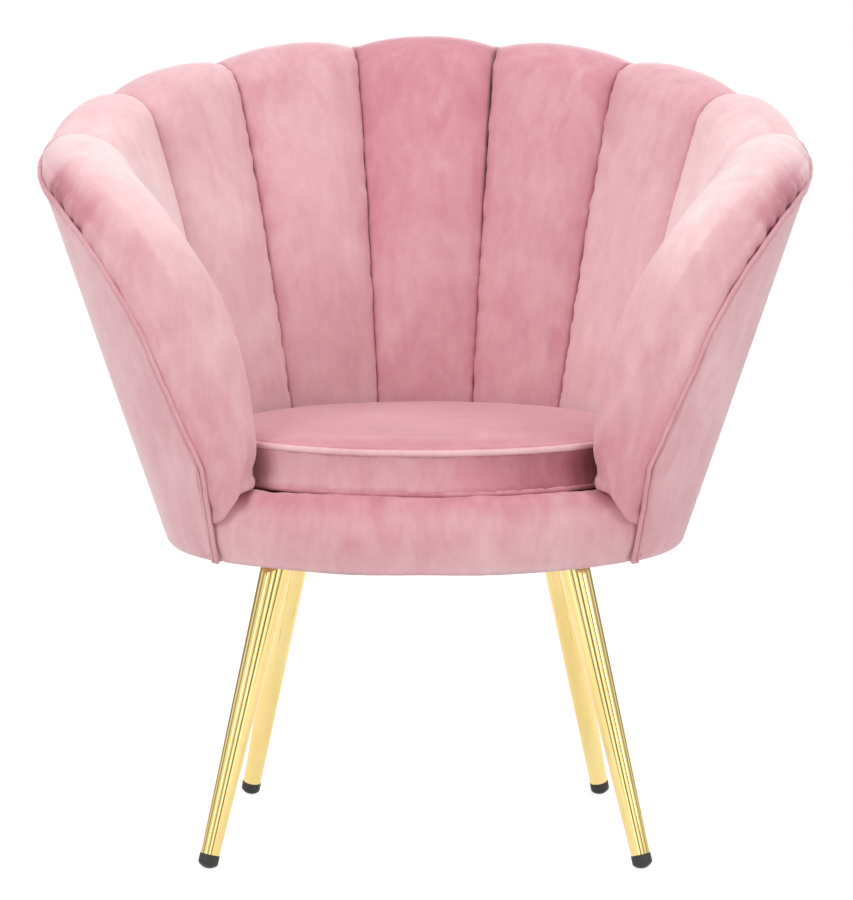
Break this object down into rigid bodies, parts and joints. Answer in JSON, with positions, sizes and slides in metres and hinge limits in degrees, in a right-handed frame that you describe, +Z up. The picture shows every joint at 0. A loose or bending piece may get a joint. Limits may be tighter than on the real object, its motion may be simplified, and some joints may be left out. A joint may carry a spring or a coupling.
{
  "type": "scallop back lounge chair",
  "caption": "Low round lounge chair with a flared scallop back of padded velvet channels, a loose seat cushion and slim splayed metal legs.",
  "frame": {"origin": "on the floor, under the middle of the chair's outline", "axes": "+Z up, -Y the front of the chair, +X to the right when seen from the front"},
  "size_m": [0.7902, 0.6938, 0.8247],
  "materials": {
    "velvet": "rose pink short pile velvet",
    "gold_metal": "polished gold plated steel tube",
    "foot_rubber": "black moulded",
    "plate_steel": "black powder coat",
    "screw_steel": "zinc plated",
    "plywood": "raw plywood",
    "frame_timber": "sawn timber",
    "webbing": "woven elastic strap",
    "foam": "upholstery foam",
    "deck_fabric": "plain woven cloth",
    "dust_fabric": "black non-woven",
    "zip_tape": "woven tape with nylon coil"
  },
  "bodies": {
    "chair": {"arm_board_left": "plywood", "arm_board_right": "plywood", "arm_pad_left": "velvet", "arm_pad_right": "velvet", "arm_post_left": "frame_timber", "arm_post_right": "frame_timber", "back_board_1_left": "plywood", "back_board_1_right": "plywood", "back_board_2_left": "plywood", "back_board_2_right": "plywood", "back_board_3_left": "plywood", "back_board_3_right": "plywood", "back_board_middle": "plywood", "back_pad_1_left": "velvet", "back_pad_1_right": "velvet", "back_pad_2_left": "velvet", "back_pad_2_right": "velvet", "back_pad_3_left": "velvet", "back_pad_3_right": "velvet", "back_pad_middle": "velvet", "base_ring": "plywood", "deck_cloth": "deck_fabric", "deck_foam": "foam", "dust_cover": "dust_fabric", "edge_welt": "velvet", "foot_cap_back_left": "foot_rubber", "foot_cap_back_right": "foot_rubber", "foot_cap_front_left": "foot_rubber", "foot_cap_front_right": "foot_rubber", "front_apron": "velvet", "front_rail": "frame_timber", "leg_back_left": "gold_metal", "leg_back_right": "gold_metal", "leg_front_left": "gold_metal", "leg_front_right": "gold_metal", "leg_plate_back_left": "plate_steel", "leg_plate_back_right": "plate_steel", "leg_plate_front_left": "plate_steel", "leg_plate_front_right": "plate_steel", "leg_screws": "screw_steel", "outer_cover": "velvet", "seam_post_1_left": "frame_timber", "seam_post_1_right": "frame_timber", "seam_post_2_left": "frame_timber", "seam_post_2_right": "frame_timber", "seam_post_3_left": "frame_timber", "seam_post_3_right": "frame_timber", "seam_post_4_left": "frame_timber", "seam_post_4_right": "frame_timber", "seat_ring": "plywood", "seat_straps": "webbing", "top_hoop": "frame_timber"},
    "cushion": {"cushion_bottom": "velvet", "cushion_foam": "foam", "cushion_piping_bottom": "velvet", "cushion_piping_top": "velvet", "cushion_side_band": "velvet", "cushion_top": "velvet", "cushion_zip": "zip_tape"}
  },
  "joints": [
    {"name": "cushion_lift", "type": "slide", "parent": "chair", "child": "cushion", "axis": [0, 0, 1], "range_m": [0, 0.5]}
  ]
}
